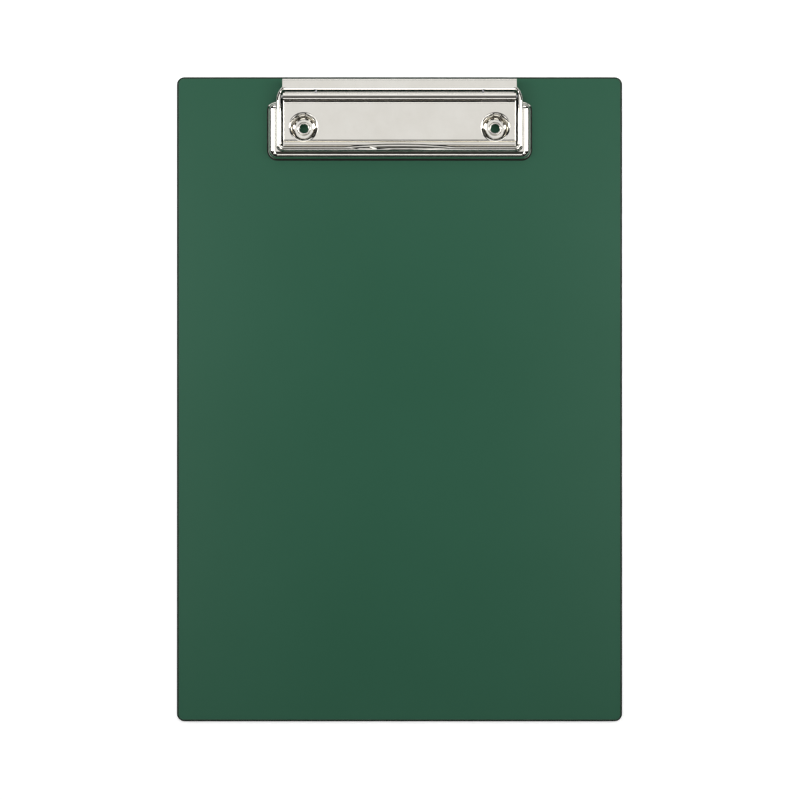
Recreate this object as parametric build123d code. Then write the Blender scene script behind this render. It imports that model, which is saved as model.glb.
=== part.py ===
from build123d import *
import os

# A4 clipboard: a card panel sealed between two plastic films, with a low spring clip
# riveted to its top edge. Millimetres. The origin is the middle of the back face,
# +X runs across the board, +Y towards the clip and +Z out of the writing face.
#
# Inside the clip, a place is given as (x, run, rise): run is the distance forward from the
# clip's datum line, just inside the board's top edge, and rise is the height above the
# writing face.

# ---- board ----
BOARD_WIDTH = 235.0
BOARD_LENGTH = 340.0
CORNER_RADIUS = 4.0
FILM = 0.3
CARD = 2.0
SEAM = 1.2
BOARD_THICKNESS = CARD + 2 * FILM
CLIP_DATUM = BOARD_LENGTH / 2 - 1.0

# ---- base plate: one pressing, raised off the board and drawn down in two rivet cups ----
PLATE_SHEET = 0.6
PLATE_HALF_WIDTH = 60.9
PLATE_RISE = 6.0
LEDGE_RISE = 4.8
PLATE_FRONT_RUN = 36.6
PLATE_STEP_RUN = 34.0
PLATE_REAR_RUN = 13.3
CUP_FLOOR_RADIUS = 5.0
CUP_MOUTH_RADIUS = 6.8
CUP_FLARE = 1.4

# ---- rivets ----
RIVET_PITCH = 100.5
RIVET_RUN = 26.8
RIVET_BORE_RADIUS = 2.4
RIVET_RADIUS = 2.75
RIVET_HEAD_RADIUS = 3.6
RIVET_HEAD_HEIGHT = 0.9
RIVET_HOLE_RADIUS = 2.8
WASHER_RADIUS = 4.6
WASHER_THICKNESS = 0.4
POCKET_RADIUS = 5.0
POCKET_DEPTH = 1.0

# ---- hinge ----
HINGE_RUN = 10.5
HINGE_RISE = 4.0
KNUCKLE_RADIUS = 2.6
ROD_RADIUS = 0.9
ROD_HALF_LENGTH = 62.75

# ---- springs ----
SPRING_WIRE_RADIUS = 0.45
SPRING_MEAN_RADIUS = 1.42
SPRING_PITCH = 1.0
SPRING_TURNS = 13.25
SPRING_INNER_X = 44.0
SPRING_TAB_LEG = 4.6
SPRING_DOWN_LEG = 3.2

# ---- lever frame: thumb strip and hoop in one pressing ----
LEVER_SHEET = 0.7
LEVER_RISE = 6.6
HOOP_HALF_WIDTH = 64.6
HOOP_FRONT_RUN = 39.4
HOOP_SKIRT_RISE = 1.0
HOOP_EDGE_RADIUS = 1.5
HOOP_CORNER_RADIUS = 4.0
HOOP_ARM_RUN = 13.0
HOOP_HEEL_RISE = 2.4
WINDOW_HALF_WIDTH = 61.9
WINDOW_REAR_RUN = 7.2
WINDOW_FRONT_RUN = 37.1
WINDOW_CORNER_RADIUS = 1.5
WINDOW_EDGE = 0.5
STRIP_HALF_WIDTH = 61.2
STRIP_REAR_RUN = 1.5
STRIP_BEND_RUN = 4.8
STRIP_DROP = 0.25
STRIP_LIP_DROP = 1.6
ARCH_HALF_WIDTH = 29.0
ARCH_DEPTH = 1.4
DISH_HALF_WIDTH = 26.0
DISH_RADIUS = 2.5
DISH_DEPTH = 0.3
DISH_RUN = 38.0

# ---- clamp jaw: a rounded channel round the hoop, whose outer lip meets the paper ----
JAW_SHEET = 0.7
JAW_CREST_RISE = 4.4
JAW_FOOT_RISE = 0.15
JAW_OUTER_HALF_WIDTH = 69.7
JAW_INNER_HALF_WIDTH = 64.8
JAW_OUTER_FRONT_RUN = 43.4
JAW_INNER_FRONT_RUN = 39.6
JAW_REAR_RUN = 12.6
JAW_FLANK_RADIUS = 3.3
JAW_LIP = 0.8
JAW_LIP_THICKNESS = 0.6
JAW_LIP_SLOPE = 50
JAW_FRONT_CORNER_RADIUS = 5.5
JAW_REAR_CORNER_RADIUS = 4.3
JAW_RIVET_RADIUS = 1.0
JAW_RIVET_HEAD_RADIUS = 1.3
JAW_RIVET_HEAD = 0.4
JAW_RIVET_RUN = 24.0
JAW_RIVET_RISE = 2.3

FIT = 0.05


def plan(x, run):
    """A point of the plan view, from its place in the clip."""
    return (x, CLIP_DATUM - run)


def side(run, rise):
    """A point of the side view, on the YZ plane."""
    return (CLIP_DATUM - run, BOARD_THICKNESS + rise)


def place(x, run, rise):
    return (x, CLIP_DATUM - run, BOARD_THICKNESS + rise)


def prism(face, low, high):
    """A plan face raised from one rise to another."""
    return Pos(0, 0, BOARD_THICKNESS + low) * extrude(face, high - low)


def slab(face, half_width):
    """A side-view face spread to both sides of the middle plane."""
    return extrude(Plane.YZ * face, half_width, both=True)


def plan_box(x_low, x_high, run_low, run_high, rise_low, rise_high):
    size = (x_high - x_low, run_high - run_low, rise_high - rise_low)
    middle = place((x_low + x_high) / 2, (run_low + run_high) / 2, (rise_low + rise_high) / 2)
    return Pos(*middle) * Box(*size)


def cross_rod(radius, x_low, x_high, run, rise):
    """A round bar or a round hole that runs across the board."""
    middle = place((x_low + x_high) / 2, run, rise)
    return Pos(*middle) * Rot(0, 90, 0) * Cylinder(radius, x_high - x_low)


def turned(points, radii):
    """A solid of revolution about Z, from the (radius, height) corners of its section."""
    outline = FilletPolyline(*points, radius=radii, close=True)
    return revolve(Plane.XZ * make_face(outline), Axis.Z)


def both_sides(piece):
    return [piece, mirror(piece, about=Plane.YZ)]


# ---- board ----

def board_outline(inset):
    width = BOARD_WIDTH - 2 * inset
    length = BOARD_LENGTH - 2 * inset
    return RectangleRounded(width, length, max(CORNER_RADIUS - inset, 1.0))


def rivet_places():
    return [plan(sign * RIVET_PITCH / 2, RIVET_RUN) for sign in (-1, 1)]


def board_core():
    core = Pos(0, 0, FILM) * extrude(board_outline(SEAM + FILM), CARD)
    for x, y in rivet_places():
        core -= Pos(x, y, BOARD_THICKNESS / 2) * Cylinder(RIVET_HOLE_RADIUS, BOARD_THICKNESS)
        core -= Pos(x, y, FILM + POCKET_DEPTH / 2) * Cylinder(POCKET_RADIUS, POCKET_DEPTH)
    return core


def back_cover():
    return extrude(board_outline(0), FILM)


def front_cover():
    """The front film: flat over the card, down its sides, and out along the welded seam."""
    dome = extrude(board_outline(SEAM), BOARD_THICKNESS)
    dome = fillet(dome.faces().sort_by(Axis.Z)[-1].edges(), FILM * 0.9)
    cover = dome + extrude(board_outline(0), 2 * FILM)
    cover -= extrude(board_outline(0), FILM)
    cover -= extrude(board_outline(SEAM + FILM), FILM + CARD)
    for x, y in rivet_places():
        cover -= Pos(x, y, BOARD_THICKNESS) * Cylinder(RIVET_HOLE_RADIUS, BOARD_THICKNESS)
    return cover


# ---- base plate ----

def front_arch(front_run):
    """A large circle that trims the middle of a front edge back in a shallow arch."""
    radius = (ARCH_HALF_WIDTH ** 2 + ARCH_DEPTH ** 2) / (2 * ARCH_DEPTH)
    return Pos(*plan(0, front_run - ARCH_DEPTH + radius)) * Circle(radius)


def plate_profile():
    """Middle line of the base plate's sheet, from its front foot to the rolled knuckle."""
    half = PLATE_SHEET / 2
    knuckle = KNUCKLE_RADIUS - half
    corners = [
        side(PLATE_FRONT_RUN - half, 0),
        side(PLATE_FRONT_RUN - half, LEDGE_RISE - half),
        side(PLATE_STEP_RUN + half, LEDGE_RISE - half),
        side(PLATE_STEP_RUN - half, PLATE_RISE - half),
        side(PLATE_REAR_RUN + half, PLATE_RISE - half),
        side(PLATE_REAR_RUN + half, HINGE_RISE - knuckle),
        side(HINGE_RUN, HINGE_RISE - knuckle),
    ]
    bends = FilletPolyline(*corners, radius=[0.6, 0.5, 0.6, 0.7, 0.7])
    roll = CenterArc(side(HINGE_RUN, HINGE_RISE), knuckle, -90, 235)
    return trace([bends, roll], PLATE_SHEET)


def plate_ear():
    """Side view of a side flange, which carries the hinge rod at its rear end."""
    skirt = [
        side(PLATE_FRONT_RUN, 0),
        side(PLATE_FRONT_RUN, LEDGE_RISE),
        side(PLATE_STEP_RUN + 0.2, LEDGE_RISE),
        side(PLATE_STEP_RUN - 0.4, PLATE_RISE),
        side(PLATE_REAR_RUN, PLATE_RISE),
        side(PLATE_REAR_RUN, HINGE_RISE + 1.4),
        side(HINGE_RUN, HINGE_RISE + 1.4),
        side(HINGE_RUN, HINGE_RISE - KNUCKLE_RADIUS),
        side(PLATE_REAR_RUN, 0),
    ]
    face = make_face(Polyline(*skirt, close=True))
    return face + Pos(*side(HINGE_RUN, HINGE_RISE)) * Circle(KNUCKLE_RADIUS)


def cup_cutter():
    """The hollow of a rivet cup, flared where it meets the plate."""
    section = [
        (0.0, PLATE_SHEET),
        (CUP_FLOOR_RADIUS, PLATE_SHEET),
        (CUP_MOUTH_RADIUS, PLATE_RISE),
        (CUP_MOUTH_RADIUS + 1.5, PLATE_RISE),
        (CUP_MOUTH_RADIUS + 1.5, PLATE_RISE + 1),
        (0.0, PLATE_RISE + 1),
    ]
    return turned(section, [0, 0.4, CUP_FLARE, 0, 0, 0])


def cup_body():
    foot = CUP_FLOOR_RADIUS + PLATE_SHEET
    mouth = CUP_MOUTH_RADIUS + PLATE_SHEET
    section = [(0.0, 0.0), (foot, 0.0), (mouth, PLATE_RISE), (0.0, PLATE_RISE)]
    return turned(section, [0, 0.5, 0, 0])


def base_plate():
    inner = PLATE_HALF_WIDTH - PLATE_SHEET
    plate = slab(plate_profile(), inner)
    ear = slab(plate_ear(), PLATE_HALF_WIDTH) - slab(plate_ear(), inner)
    plate += ear
    plate -= prism(front_arch(PLATE_FRONT_RUN), -1, PLATE_RISE + 1)
    shoulders = [
        edge for edge in plate.edges().filter_by(Axis.Y)
        if abs(abs(edge.center().X) - PLATE_HALF_WIDTH) < 0.01
        and abs(edge.center().Z - BOARD_THICKNESS - PLATE_RISE) < 0.01
    ]
    plate = fillet(shoulders, PLATE_SHEET * 0.8)
    for x, y in rivet_places():
        plate += Pos(x, y, BOARD_THICKNESS) * cup_body()
        plate -= Pos(x, y, BOARD_THICKNESS) * cup_cutter()
        plate -= Pos(x, y, BOARD_THICKNESS) * Cylinder(RIVET_HOLE_RADIUS, 4)
    plate -= cross_rod(ROD_RADIUS + 0.02, -PLATE_HALF_WIDTH - 1, PLATE_HALF_WIDTH + 1,
                       HINGE_RUN, HINGE_RISE)
    for sign in (-1, 1):
        for slot in spring_slots(sign):
            plate -= slot
    return plate


def spring_slots(sign):
    """Where the two legs of a spring leave the rolled knuckle."""
    wide = SPRING_WIRE_RADIUS + 0.35
    coil_end = SPRING_INNER_X + SPRING_PITCH * SPRING_TURNS
    slots = []
    for x, runs, rises in (
        (SPRING_INNER_X, (HINGE_RUN - 3.1, HINGE_RUN - 0.7), (4.8, 6.0)),
        (coil_end, (HINGE_RUN + 0.6, HINGE_RUN + 2.25), (0.5, 2.8)),
    ):
        low, high = sorted((sign * (x - wide), sign * (x + wide)))
        slots.append(plan_box(low, high, *runs, *rises))
    return slots


# ---- fasteners and hinge ----

def rivet(x, y):
    """A hollow rivet: rolled head in the cup, tube through the card, flare on its washer."""
    head_low = BOARD_THICKNESS + PLATE_SHEET
    head_high = head_low + RIVET_HEAD_HEIGHT
    back_high = FILM + POCKET_DEPTH - WASHER_THICKNESS
    back_low = back_high - 0.45
    section = [
        (RIVET_BORE_RADIUS, back_low),
        (RIVET_HEAD_RADIUS, back_low),
        (RIVET_HEAD_RADIUS, back_high),
        (RIVET_RADIUS, back_high),
        (RIVET_RADIUS, head_low),
        (RIVET_HEAD_RADIUS, head_low),
        (RIVET_HEAD_RADIUS, head_high),
        (RIVET_BORE_RADIUS, head_high),
    ]
    return Pos(x, y, 0) * turned(section, [0.15, 0.2, 0, 0, 0, 0.2, 0.6, 0.3])


def rivet_washer(x, y):
    middle = FILM + POCKET_DEPTH - WASHER_THICKNESS / 2
    ring = Cylinder(WASHER_RADIUS, WASHER_THICKNESS) - Cylinder(RIVET_HOLE_RADIUS, WASHER_THICKNESS)
    return Pos(x, y, middle) * ring


def hinge_rod():
    """Captive between the outer walls of the hoop's two arms."""
    rod = cross_rod(ROD_RADIUS, -ROD_HALF_LENGTH, ROD_HALF_LENGTH, HINGE_RUN, HINGE_RISE)
    return chamfer(rod.edges().filter_by(GeomType.CIRCLE), 0.2)


def torsion_spring():
    """Coils on the rod inside the knuckle; one leg lifts the thumb strip, one is anchored."""
    coil_length = SPRING_PITCH * SPRING_TURNS
    path = Helix(SPRING_PITCH, coil_length, SPRING_MEAN_RADIUS)
    wire = Circle(SPRING_WIRE_RADIUS)
    coil = sweep(Plane(origin=path @ 0, z_dir=path % 0) * wire, path=path, is_frenet=True)
    for end, outward, length in ((path @ 0, -1, SPRING_TAB_LEG), (path @ 1, 1, SPRING_DOWN_LEG)):
        tangent = (path % (0 if outward < 0 else 1)) * outward
        leg = extrude(Plane(origin=end, z_dir=tangent) * wire, length)
        coil += leg + Pos(*end) * Sphere(SPRING_WIRE_RADIUS)
    axis = Plane(origin=place(SPRING_INNER_X, HINGE_RUN, HINGE_RISE), x_dir=(0, 0, 1), z_dir=(1, 0, 0))
    return axis * coil


# ---- lever frame ----

def hoop_outline():
    """Half-plan of the hoop, doubled: flared rear corners, straight arms, straight front."""
    shoulder_run = STRIP_BEND_RUN + 0.7
    sweep_in = HOOP_HALF_WIDTH - STRIP_HALF_WIDTH
    reach = HOOP_ARM_RUN - shoulder_run
    bend = (reach ** 2 + sweep_in ** 2) / (2 * sweep_in)
    right = Curve() + [
        Line(plan(0, shoulder_run), plan(STRIP_HALF_WIDTH, shoulder_run)),
        RadiusArc(plan(STRIP_HALF_WIDTH, shoulder_run), plan(HOOP_HALF_WIDTH, HOOP_ARM_RUN), bend),
        Line(plan(HOOP_HALF_WIDTH, HOOP_ARM_RUN), plan(HOOP_HALF_WIDTH, HOOP_FRONT_RUN)),
        Line(plan(HOOP_HALF_WIDTH, HOOP_FRONT_RUN), plan(0, HOOP_FRONT_RUN)),
    ]
    face = make_face(right + mirror(right, about=Plane.YZ))
    front = [v for v in face.vertices() if abs(v.Y - plan(0, HOOP_FRONT_RUN)[1]) < 0.01 and abs(v.X) > 1]
    return fillet(front, HOOP_CORNER_RADIUS)


def window_outline():
    length = WINDOW_FRONT_RUN - WINDOW_REAR_RUN
    middle = plan(0, (WINDOW_FRONT_RUN + WINDOW_REAR_RUN) / 2)
    face = Pos(*middle) * RectangleRounded(2 * WINDOW_HALF_WIDTH, length, WINDOW_CORNER_RADIUS)
    return face - front_arch(WINDOW_FRONT_RUN)


def thumb_strip():
    """The strip along the board's edge: flat, then dropping to a rolled lip."""
    half = LEVER_SHEET / 2
    corners = [
        side(STRIP_BEND_RUN + 1.4, LEVER_RISE - half),
        side(STRIP_BEND_RUN, LEVER_RISE - half),
        side(STRIP_REAR_RUN + half, LEVER_RISE - half - STRIP_DROP),
        side(STRIP_REAR_RUN + half, LEVER_RISE - half - STRIP_LIP_DROP),
    ]
    return slab(trace(FilletPolyline(*corners, radius=[1.2, 0.7]), LEVER_SHEET), STRIP_HALF_WIDTH)


def lever_frame():
    shell = prism(hoop_outline(), HOOP_SKIRT_RISE, LEVER_RISE)
    rear_y = shell.bounding_box().max.Y
    rim = [edge for edge in shell.faces().sort_by(Axis.Z)[-1].edges() if edge.center().Y < rear_y - 0.1]
    shell = fillet(rim, HOOP_EDGE_RADIUS)
    inner_rise = LEVER_RISE - LEVER_SHEET
    hollow = offset(hoop_outline(), -LEVER_SHEET)
    hollow += Pos(*plan(0, STRIP_BEND_RUN)) * Rectangle(2 * STRIP_HALF_WIDTH - 2, 4)
    shell -= prism(hollow, HOOP_SKIRT_RISE - 1, inner_rise)
    walls = offset(window_outline(), LEVER_SHEET) - window_outline()
    walls -= Pos(*plan(0, WINDOW_REAR_RUN)) * Rectangle(2 * WINDOW_HALF_WIDTH, 3)
    shell += prism(walls, HOOP_SKIRT_RISE, inner_rise)
    shell -= prism(window_outline(), HOOP_SKIRT_RISE - 1, LEVER_RISE + 1)
    for bevel in window_bevels():
        shell -= bevel
    shell += thumb_strip()
    shell -= front_dish()
    shell -= slab(heel_relief(), HOOP_HALF_WIDTH + 1)
    hinge = cross_rod(ROD_RADIUS + FIT, WINDOW_HALF_WIDTH - 1, WINDOW_HALF_WIDTH + 1, HINGE_RUN, HINGE_RISE)
    joint = jaw_rivet_hole()
    for hole in both_sides(hinge) + both_sides(joint):
        shell -= hole
    return shell


def window_bevels():
    """The broken upper edge of the window, in two slopes."""
    bevels = []
    for depth, slope in ((WINDOW_EDGE, 25), (WINDOW_EDGE / 2, 60)):
        low = BOARD_THICKNESS + LEVER_RISE - depth
        bevels.append(Pos(0, 0, low) * extrude(window_outline(), depth + FIT, taper=-slope))
    return bevels


def front_dish():
    """A long shallow dish in the middle of the hoop's front rim."""
    reach = (DISH_HALF_WIDTH ** 2 + DISH_DEPTH ** 2) / (2 * DISH_DEPTH)
    middle = place(0, DISH_RUN, LEVER_RISE - DISH_DEPTH + reach)
    return Pos(*middle) * Rot(90, 0, 0) * Torus(reach - DISH_RADIUS, DISH_RADIUS)


def heel_relief():
    """What the skirt loses behind the hinge, so that it clears the board when the strip is down."""
    corners = [
        side(0, 0),
        side(0, HOOP_HEEL_RISE),
        side(HINGE_RUN, HOOP_HEEL_RISE),
        side(HOOP_ARM_RUN + 1, HOOP_SKIRT_RISE),
        side(HOOP_ARM_RUN + 1, 0),
    ]
    return make_face(Polyline(*corners, close=True))


# ---- clamp jaw ----

def u_outline(half_width, front_run, rear_run, front_radius, rear_radius):
    """Plan of a rectangle in the clip, with its own radius for the front and the rear corners."""
    middle = plan(0, (front_run + rear_run) / 2)
    face = Pos(*middle) * Rectangle(2 * half_width, front_run - rear_run)
    corners = face.vertices().sort_by(Axis.Y)
    face = fillet(corners[:2], front_radius)
    if rear_radius:
        face = fillet(face.vertices().sort_by(Axis.Y)[-2:], rear_radius)
    return face


def clamp_jaw():
    """A sheet channel in a U: crest beside the hoop, round flank, and a bevelled lip on the paper."""
    lip = u_outline(JAW_OUTER_HALF_WIDTH, JAW_OUTER_FRONT_RUN, JAW_REAR_RUN,
                    JAW_FRONT_CORNER_RADIUS, JAW_REAR_CORNER_RADIUS)
    inner = u_outline(JAW_INNER_HALF_WIDTH, JAW_INNER_FRONT_RUN, JAW_REAR_RUN - 5,
                      HOOP_CORNER_RADIUS + FIT, 0)
    flank = offset(lip, -JAW_LIP)
    shell = prism(flank, JAW_FOOT_RISE, JAW_CREST_RISE)
    shell = fillet(shell.faces().sort_by(Axis.Z)[-1].edges(), JAW_FLANK_RADIUS)
    foot_low = BOARD_THICKNESS + JAW_FOOT_RISE
    shell += Pos(0, 0, foot_low) * extrude(lip, JAW_LIP_THICKNESS, taper=JAW_LIP_SLOPE)
    core = prism(offset(flank, -JAW_SHEET), JAW_FOOT_RISE - 1, JAW_CREST_RISE - JAW_SHEET)
    core = fillet(core.faces().sort_by(Axis.Z)[-1].edges(), JAW_FLANK_RADIUS - JAW_SHEET)
    core -= prism(offset(inner, JAW_SHEET), JAW_FOOT_RISE - 1, JAW_CREST_RISE)
    shell = shell - core - prism(inner, JAW_FOOT_RISE - 1, JAW_CREST_RISE + 1)
    for hole in both_sides(jaw_rivet_hole()):
        shell -= hole
    return shell


def jaw_rivet_hole():
    return cross_rod(JAW_RIVET_RADIUS + FIT, HOOP_HALF_WIDTH - 1.2, JAW_INNER_HALF_WIDTH + 1.2,
                     JAW_RIVET_RUN, JAW_RIVET_RISE)


def jaw_rivet():
    """A short rivet that holds an arm of the hoop and a leg of the jaw together."""
    low = HOOP_HALF_WIDTH - LEVER_SHEET
    high = JAW_INNER_HALF_WIDTH + JAW_SHEET
    rivet_body = cross_rod(JAW_RIVET_RADIUS, low, high, JAW_RIVET_RUN, JAW_RIVET_RISE)
    for x_low, x_high in ((low - JAW_RIVET_HEAD, low), (high, high + JAW_RIVET_HEAD)):
        rivet_body += cross_rod(JAW_RIVET_HEAD_RADIUS, x_low, x_high, JAW_RIVET_RUN, JAW_RIVET_RISE)
    return rivet_body


def write(name, piece):
    export_step(piece, f"parts/{name}.step")


def main():
    os.makedirs("parts", exist_ok=True)
    write("board_core", board_core())
    write("back_cover", back_cover())
    write("front_cover", front_cover())
    write("base_plate", base_plate())
    write("hinge_rod", hinge_rod())
    write("lever_frame", lever_frame())
    write("clamp_jaw", clamp_jaw())
    for side_name, (x, y) in zip(("left", "right"), rivet_places()):
        write(f"rivet_{side_name}", rivet(x, y))
        write(f"rivet_washer_{side_name}", rivet_washer(x, y))
    for name, piece in (("jaw_rivet", jaw_rivet()), ("torsion_spring", torsion_spring())):
        right, left = both_sides(piece)
        write(f"{name}_right", right)
        write(f"{name}_left", left)


main()
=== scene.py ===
import bpy
import math
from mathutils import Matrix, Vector


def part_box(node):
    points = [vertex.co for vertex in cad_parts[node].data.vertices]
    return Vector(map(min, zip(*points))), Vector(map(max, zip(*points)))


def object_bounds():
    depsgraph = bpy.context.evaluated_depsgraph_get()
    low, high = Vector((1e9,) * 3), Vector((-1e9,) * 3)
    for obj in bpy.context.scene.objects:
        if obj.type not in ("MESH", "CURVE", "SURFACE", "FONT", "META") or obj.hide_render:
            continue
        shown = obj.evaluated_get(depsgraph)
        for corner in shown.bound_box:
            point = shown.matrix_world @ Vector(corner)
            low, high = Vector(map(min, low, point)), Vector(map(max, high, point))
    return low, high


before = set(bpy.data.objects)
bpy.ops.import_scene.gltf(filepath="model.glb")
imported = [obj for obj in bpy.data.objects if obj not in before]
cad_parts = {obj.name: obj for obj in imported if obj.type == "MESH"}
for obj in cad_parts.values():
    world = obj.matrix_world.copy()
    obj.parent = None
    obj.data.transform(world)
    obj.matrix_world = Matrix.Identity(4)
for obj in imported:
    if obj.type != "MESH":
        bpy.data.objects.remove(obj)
cad_low, cad_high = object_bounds()

# Lengths are in metres. X runs to the right, Y towards the clip and Z up from the back face.

CAMERA_HEIGHT = 0.8                  # of the lens above the writing face
CAMERA_OFFSET = (0.00025, -0.0004)   # of the lens from the middle of the board
SEEN_WIDTH = 0.4212                  # what the camera takes in across the writing face

FLOOR_SIZE = 8
FLOOR_GAP = 0.0002                   # below the board, so that the two faces don't flicker
FLOOR_GLOW = 0.45                    # keeps the floor white in the board's shade

BACKDROP_SEEN = 0.95                 # brightness to the camera
BACKDROP_LIGHT = 0.02                # brightness as a light and in reflections

LAMP_TARGET = (0, 0.14, 0)           # on the clip, where most lamps are aimed
CARD_HEIGHT = 0.66                   # of the cards that hang over the board

GREEN = (0.0215, 0.0960, 0.0540)
PALE_GREEN = (0.0238, 0.1016, 0.0586)
SEAM_GREEN = (0.003, 0.018, 0.009)   # low on the welded seam
EDGE_HIGHLIGHT_GREEN = (0.085, 0.115, 0.060)   # painted highlight where the film bends over the board's edge
FILM_RELIEF = 0.00005
METAL_RELIEF = 0.00005
CARD_RELIEF = 0.0001
GAP_SHADE_REACH = 0.008                    # how near a metal part is when painted shade darkens the film beside it


# ---- materials ----

class Shader:
    """A node material with short calls for the nodes that the finishes below are made of."""

    def __init__(self, name):
        self.material = bpy.data.materials.new(name)
        self.material.use_nodes = True
        self.tree = self.material.node_tree
        self.bsdf = self.tree.nodes["Principled BSDF"]

    def node(self, kind, settings=None, **inputs):
        made = self.tree.nodes.new(kind)
        for key, value in (settings or {}).items():
            setattr(made, key, value)
        for key, value in inputs.items():
            self.put(value, made.inputs[key.replace("_", " ")])
        return made

    def put(self, value, socket):
        """Link a value that is a socket, or set one that is a number or a colour."""
        if isinstance(value, bpy.types.NodeSocket):
            self.tree.links.new(value, socket)
        else:
            socket.default_value = value

    def set(self, **inputs):
        for key, value in inputs.items():
            self.put(value, self.bsdf.inputs[key.replace("_", " ")])

    def place(self):
        return self.node("ShaderNodeTexCoord").outputs["Object"]

    def height_share(self, full):
        """How high a point lies above the back face, as a share of the full height."""
        z = self.node("ShaderNodeSeparateXYZ", Vector=self.place()).outputs["Z"]
        made = self.node("ShaderNodeMath", {"operation": "DIVIDE"})
        self.put(z, made.inputs[0])
        self.put(full, made.inputs[1])
        return made.outputs[0]

    def noise(self, scale, detail=3.0, roughness=0.55, stretch=(1, 1, 1)):
        mapped = self.node("ShaderNodeMapping", Vector=self.place(), Scale=stretch)
        made = self.node("ShaderNodeTexNoise", Vector=mapped.outputs[0], Scale=scale, Detail=detail,
                         Roughness=roughness)
        return made.outputs["Fac"]

    def ramp(self, fac, *stops):
        """Turn a factor into a colour; each stop is a position and a colour or a grey."""
        made = self.node("ShaderNodeValToRGB", Fac=fac)
        for element, (position, colour) in zip(made.color_ramp.elements, stops):
            element.position = position
            element.color = (*colour, 1) if hasattr(colour, "__len__") else (colour, colour, colour, 1)
        return made.outputs["Color"]

    def mix(self, fac, a, b, blend="MIX"):
        made = self.node("ShaderNodeMix", {"data_type": "RGBA", "blend_type": blend})
        for socket, value in zip((0, 6, 7), (fac, a, b)):    # the factor and the two colours
            self.put(value, made.inputs[socket])
        return made.outputs[2]

    def bump(self, height, strength, distance):
        made = self.node("ShaderNodeBump", Height=height, Strength=strength, Distance=distance)
        return made.outputs["Normal"]


def nickel():
    """Bright nickel plate: mirror gloss, slightly cloudy, with faint rolling marks along the clip."""
    s = Shader("bright_nickel")
    rolling = s.noise(scale=900, detail=2.0, roughness=0.5, stretch=(0.06, 1, 1))
    cloud = s.noise(scale=60, detail=4.0)
    s.set(
        Base_Color=s.ramp(cloud, (0.3, (0.74, 0.715, 0.66)), (0.7, (0.79, 0.77, 0.72))),
        Metallic=1.0,
        Roughness=s.ramp(rolling, (0.3, 0.03), (0.75, 0.06)),
        Normal=s.bump(rolling, strength=0.03, distance=METAL_RELIEF),
    )
    return s.material


def steel(name, colour, rough):
    """Satin steel with fine drawing marks and darker patches."""
    s = Shader(name)
    drawn = s.noise(scale=1500, detail=2.0, roughness=0.5, stretch=(0.08, 1, 1))
    s.set(
        Base_Color=s.ramp(s.noise(scale=200), (0.3, colour), (0.7, tuple(c * 0.8 for c in colour))),
        Metallic=1.0,
        Roughness=s.ramp(drawn, (0.3, rough), (0.75, rough + 0.12)),
        Normal=s.bump(drawn, strength=0.1, distance=METAL_RELIEF),
    )
    return s.material


def film(name, front):
    """Green PVC film, satin and finely pebbled; the front one has a dark seam with a painted highlight
    above it, and painted shade in its gaps.
    """
    s = Shader(name)
    pebble = s.noise(scale=1400, detail=2.0)
    colour = s.ramp(s.noise(scale=9), (0.3, GREEN), (0.7, PALE_GREEN))
    if front:
        height = s.height_share(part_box("front_cover")[1].z)
        # dark welded seam low on the board's edge, ramping up to a painted highlight where the film
        # bends over it
        seam_and_highlight = s.ramp(height, (0.60, SEAM_GREEN), (0.93, EDGE_HIGHLIGHT_GREEN))
        colour = s.mix(s.ramp(height, (0.94, 0.0), (0.99, 1.0)), seam_and_highlight, colour)
        # painted shade: ambient occlusion darkens the film in the gaps under the clip and beside its
        # edges, like a contact shadow
        gap_shade = s.node("ShaderNodeAmbientOcclusion", {"samples": 8}, Distance=GAP_SHADE_REACH)
        colour = s.mix(1.0, colour, s.ramp(gap_shade.outputs["AO"], (0.40, 0.06), (0.68, 1.0)), "MULTIPLY")
    s.set(
        Base_Color=colour,
        Roughness=s.ramp(pebble, (0.3, 0.34), (0.7, 0.42)),
        Specular_IOR_Level=0.22,
        Normal=s.bump(pebble, strength=0.08, distance=FILM_RELIEF),
    )
    return s.material


def card():
    """Grey board, matt and fibrous."""
    s = Shader("greyboard")
    fibre = s.noise(scale=700, detail=5.0, roughness=0.7, stretch=(0.3, 1, 1))
    s.set(
        Base_Color=s.ramp(fibre, (0.3, (0.25, 0.22, 0.18)), (0.7, (0.42, 0.38, 0.33))),
        Roughness=0.9,
        Normal=s.bump(fibre, strength=0.4, distance=CARD_RELIEF),
    )
    return s.material


def paint(material, *names):
    """Put the material into every slot of the named nodes."""
    for name in names:
        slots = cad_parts[name].data.materials
        if len(slots):
            for i in range(len(slots)):
                slots[i] = material
        else:
            slots.append(material)


paint(nickel(), "base_plate", "lever_frame", "clamp_jaw", "rivet_left", "rivet_right")
paint(steel("zinc_steel", (0.55, 0.56, 0.58), 0.3), "rivet_washer_left", "rivet_washer_right",
      "hinge_rod", "jaw_rivet_left", "jaw_rivet_right")
paint(steel("spring_wire", (0.34, 0.34, 0.36), 0.25), "torsion_spring_left", "torsion_spring_right")
paint(film("front_film", True), "front_cover")
paint(film("back_film", False), "back_cover")
paint(card(), "board_core")


# ---- studio ----

def floor():
    """White table that stays white in the shade of the board."""
    bpy.ops.mesh.primitive_plane_add(size=FLOOR_SIZE, location=(0, 0, cad_low.z - FLOOR_GAP))
    made = bpy.context.object
    made.name = "floor"
    s = Shader("white_floor")
    s.set(Base_Color=(0.88, 0.88, 0.88, 1), Roughness=0.8, Emission_Color=(1, 1, 1, 1),
          Emission_Strength=FLOOR_GLOW)
    made.data.materials.append(s.material)


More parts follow.
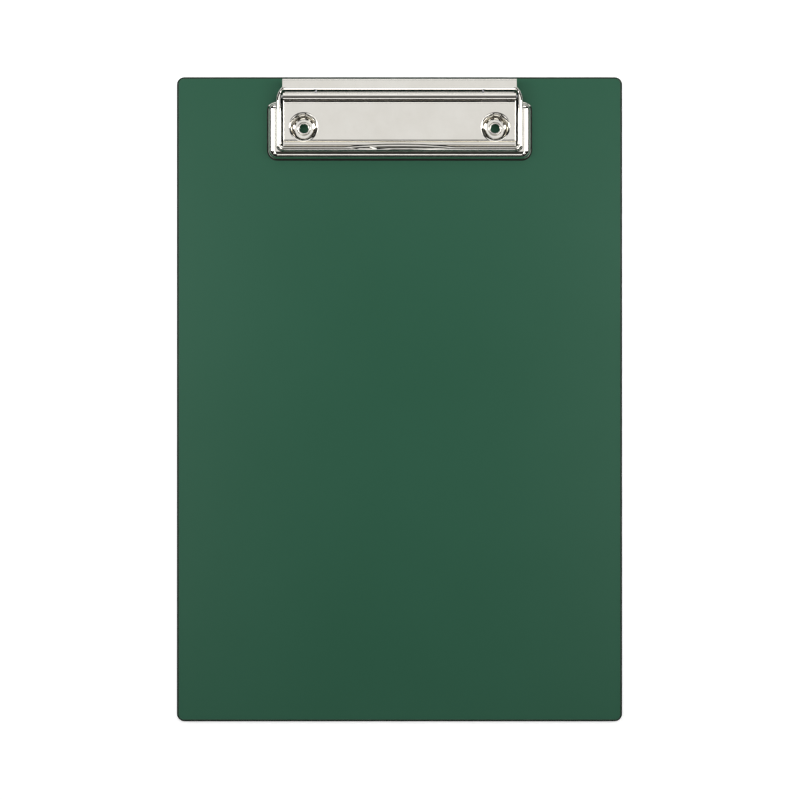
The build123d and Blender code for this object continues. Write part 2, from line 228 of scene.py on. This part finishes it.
def softbox(name, centre, target, size, radiance, colour=(1, 1, 1)):
    """A rectangular lamp, as bright to look at as radiance says, and hidden from the camera."""
    light = bpy.data.lights.new(name, "AREA")
    light.shape = "RECTANGLE"
    light.size, light.size_y = size
    light.energy = math.pi * size[0] * size[1] * radiance
    light.color = colour
    made = bpy.data.objects.new(name, light)
    made.location = centre
    made.rotation_euler = (Vector(target) - Vector(centre)).to_track_quat("-Z", "Y").to_euler()
    made.visible_camera = False
    bpy.context.scene.collection.objects.link(made)


def backdrop():
    """Pale behind the object, but dim in its reflections and as a light."""
    world = bpy.data.worlds.new("studio")
    bpy.context.scene.world = world
    world.use_nodes = True
    tree = world.node_tree
    path = tree.nodes.new("ShaderNodeLightPath")
    mix = tree.nodes.new("ShaderNodeMix")
    mix.data_type = "FLOAT"
    mix.inputs["A"].default_value = BACKDROP_LIGHT
    mix.inputs["B"].default_value = BACKDROP_SEEN
    tree.links.new(path.outputs["Is Camera Ray"], mix.inputs["Factor"])
    background = tree.nodes["Background"]
    background.inputs["Color"].default_value = (1, 1, 1, 1)
    tree.links.new(mix.outputs["Result"], background.inputs["Strength"])


def studio():
    """Cards over the board that the nickel mirrors, and lamps at its sides that light the film."""
    backdrop()
    softbox("top_card", (0, 0.33, CARD_HEIGHT), (0, 0.33, 0), (0.27, 0.27), 0.91)
    softbox("front_fill", (0, -0.12, CARD_HEIGHT), (0, 0.15, 0), (0.3, 0.1), 0.2, (1, 0.97, 0.86))
    softbox("back_card", (0, 0.74, 0.46), (0, 0.12, 0), (0.9, 0.30), 2.2)
    softbox("front_card", (0, -0.40, 0.46), LAMP_TARGET, (0.32, 0.09), 3)
    for side in (-1, 1):
        card_x = side * 0.26
        softbox("side_card", (card_x, 0.02, CARD_HEIGHT), (card_x, 0.02, 0), (0.12, 0.65), 2.6)
        softbox("side_light", (side * 0.50, 0.18, 0.41), (side * 0.04, 0.13, 0), (0.20, 0.30), 9.5)
        softbox("front_light", (side * 0.36, -0.16, 0.45), LAMP_TARGET, (0.12, 0.20), 1.6)
    floor()


def camera():
    """Straight above the board, square to it."""
    data = bpy.data.cameras.new("camera")
    data.lens = data.sensor_width * CAMERA_HEIGHT / SEEN_WIDTH
    made = bpy.data.objects.new("camera", data)
    made.location = (*CAMERA_OFFSET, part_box("front_cover")[1].z + CAMERA_HEIGHT)
    bpy.context.scene.collection.objects.link(made)
    bpy.context.scene.camera = made


camera()
studio()
bpy.context.scene.view_settings.view_transform = "Standard"
